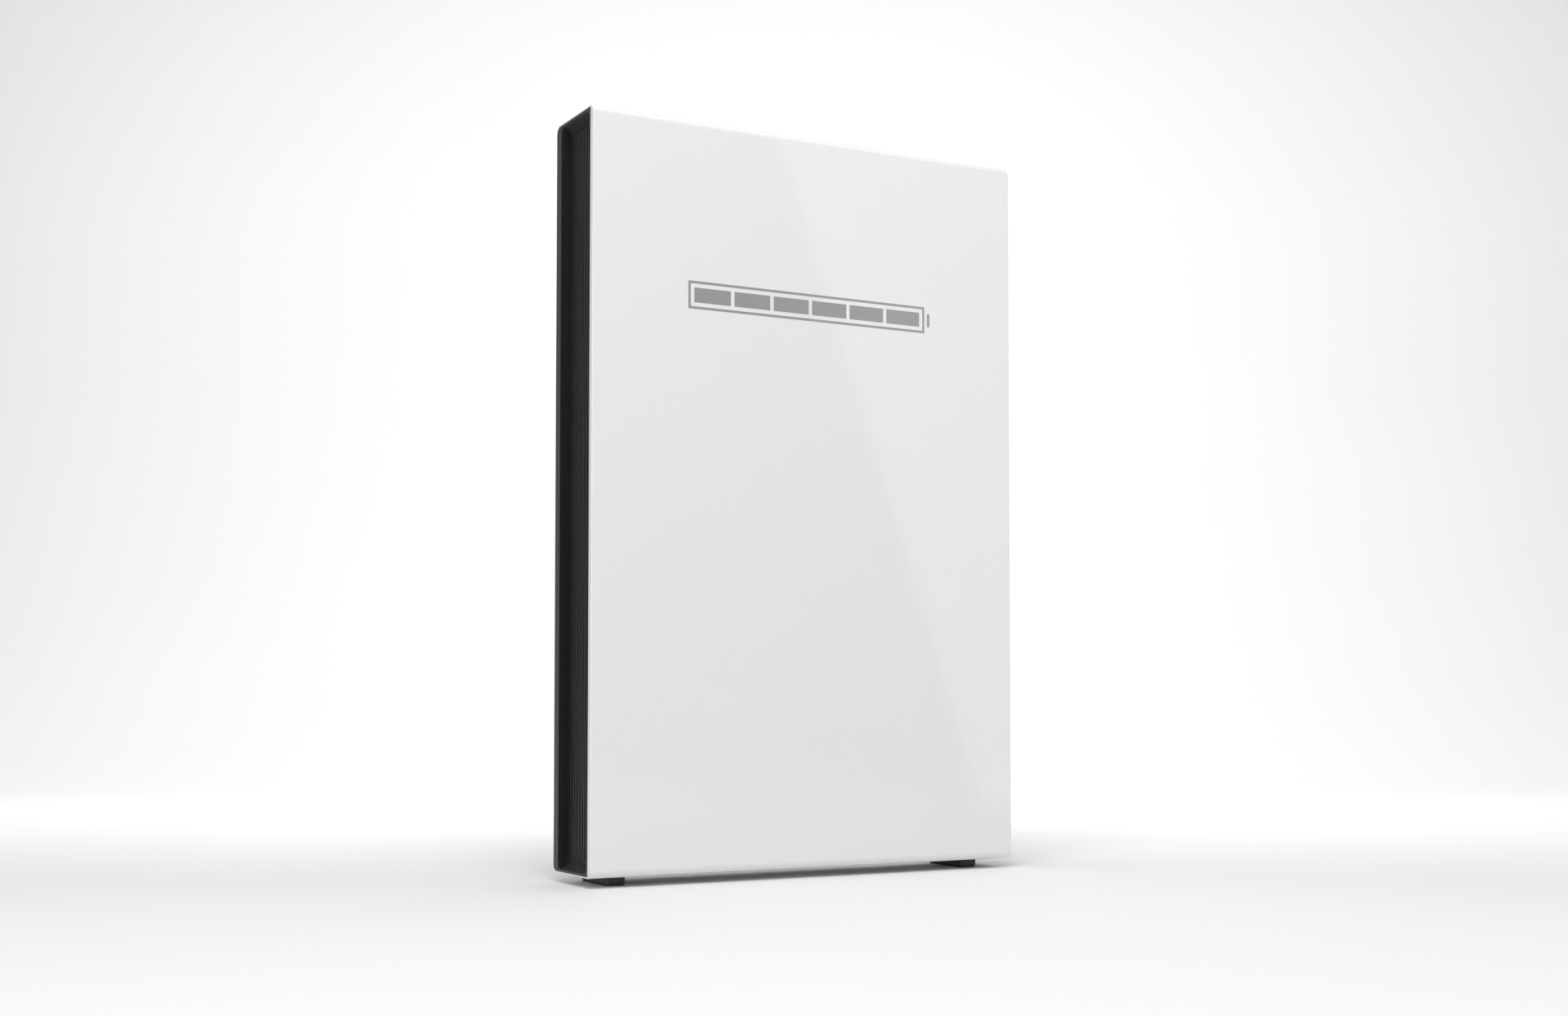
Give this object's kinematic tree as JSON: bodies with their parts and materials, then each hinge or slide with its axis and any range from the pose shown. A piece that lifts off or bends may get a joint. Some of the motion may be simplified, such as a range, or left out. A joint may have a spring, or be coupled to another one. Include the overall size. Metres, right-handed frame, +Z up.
{
  "type": "home battery unit",
  "caption": "Flat free-standing home battery with a folded white cover, dished black side grilles, floor bars and liquid-cooled internals.",
  "frame": {"origin": "on the floor, under the middle of the unit's box", "axes": "+Z up, cover face to -Y, back and hanging cleats to +Y, status windows on the -X side"},
  "size_m": [0.753, 0.147, 1.165],
  "materials": {
    "cover_white": "satin white powder coat on folded aluminium sheet",
    "emblem_metal": "satin grey metal inlay",
    "zinc_steel": "zinc plated",
    "black_plastic": "fine grained black moulding",
    "housing_metal": "black powder coat",
    "smoked_glass": "smoked clear polycarbonate",
    "circuit_board": "solder mask",
    "gloss_black": "polished black moulding",
    "foot_metal": "black powder coat",
    "pad_rubber": "matt black rubber",
    "brass_parts": "turned brass",
    "cast_aluminium": "bare aluminium",
    "grey_plastic": "moulded grey plastic",
    "cell_blocks": "wrapped cells",
    "copper_bars": "bare copper",
    "ceramic_fuse": "fuse ceramic",
    "terminal_green": "terminal plastic"
  },
  "bodies": {
    "chassis": {"cover_sockets": "black_plastic", "rear_housing": "housing_metal", "left_side_panel": "black_plastic", "right_side_panel": "black_plastic", "status_light_guide": "smoked_glass", "status_light_board": "circuit_board", "switch_body": "gloss_black", "left_foot": "foot_metal", "right_foot": "foot_metal", "foot_pads": "pad_rubber", "foot_bolts": "zinc_steel", "upper_cleat": "housing_metal", "lower_cleat": "housing_metal", "cleat_screws": "zinc_steel", "threaded_inserts": "brass_parts", "battery_tray": "cast_aluminium", "lid_gasket": "pad_rubber", "battery_lid": "cast_aluminium", "lid_screws": "zinc_steel", "coolant_plate": "cast_aluminium", "coolant_fittings": "brass_parts", "lower_module_tray": "grey_plastic", "lower_cell_bricks": "cell_blocks", "lower_module_cover": "grey_plastic", "upper_module_tray": "grey_plastic", "upper_cell_bricks": "cell_blocks", "upper_module_cover": "grey_plastic", "monitor_boards": "circuit_board", "module_busbars": "copper_bars", "radiator_tanks": "black_plastic", "radiator_core": "cast_aluminium", "pump_housing": "grey_plastic", "pump_cap": "grey_plastic", "coolant_hoses": "pad_rubber", "supply_pipe": "cast_aluminium", "coolant_reservoir": "grey_plastic", "reservoir_cap": "gloss_black", "upper_fan_frame": "black_plastic", "lower_fan_frame": "black_plastic", "inverter_case": "cast_aluminium", "inverter_board": "circuit_board", "board_screws": "zinc_steel", "heat_sink": "cast_aluminium", "bus_capacitors": "gloss_black", "power_inductors": "copper_bars", "power_transistors": "gloss_black", "main_fuse": "ceramic_fuse", "wiring_box": "black_plastic", "wiring_box_cover": "black_plastic", "wiring_cover_screws": "zinc_steel", "conduit_hub": "zinc_steel", "terminal_block": "terminal_green"},
    "cover": {"front_cover": "cover_white", "cover_emblem": "emblem_metal", "cover_studs": "zinc_steel"},
    "upper_rotor": {"upper_fan_rotor": "gloss_black"},
    "lower_rotor": {"lower_fan_rotor": "gloss_black"},
    "impeller": {"pump_impeller": "gloss_black"},
    "rocker": {"switch_rocker": "gloss_black"}
  },
  "joints": [
    {"name": "cover_pull", "type": "slide", "parent": "chassis", "child": "cover", "axis": [0, -1, 0], "range_m": [0, 0.2]},
    {"name": "upper_fan_spin", "type": "hinge", "parent": "chassis", "child": "upper_rotor", "pos_m": [0.3435, 0, 0.64], "axis": [1, 0, 0], "continuous": true},
    {"name": "lower_fan_spin", "type": "hinge", "parent": "chassis", "child": "lower_rotor", "pos_m": [0.3435, 0, 0.5], "axis": [1, 0, 0], "continuous": true},
    {"name": "impeller_spin", "type": "hinge", "parent": "chassis", "child": "impeller", "pos_m": [-0.225, -0.052, 0.4], "axis": [0, 1, 0], "continuous": true},
    {"name": "rocker_tilt", "type": "hinge", "parent": "chassis", "child": "rocker", "pos_m": [0.3671, 0.0585, 0.985], "axis": [0, 1, 0], "range_deg": [-16, 0]}
  ]
}
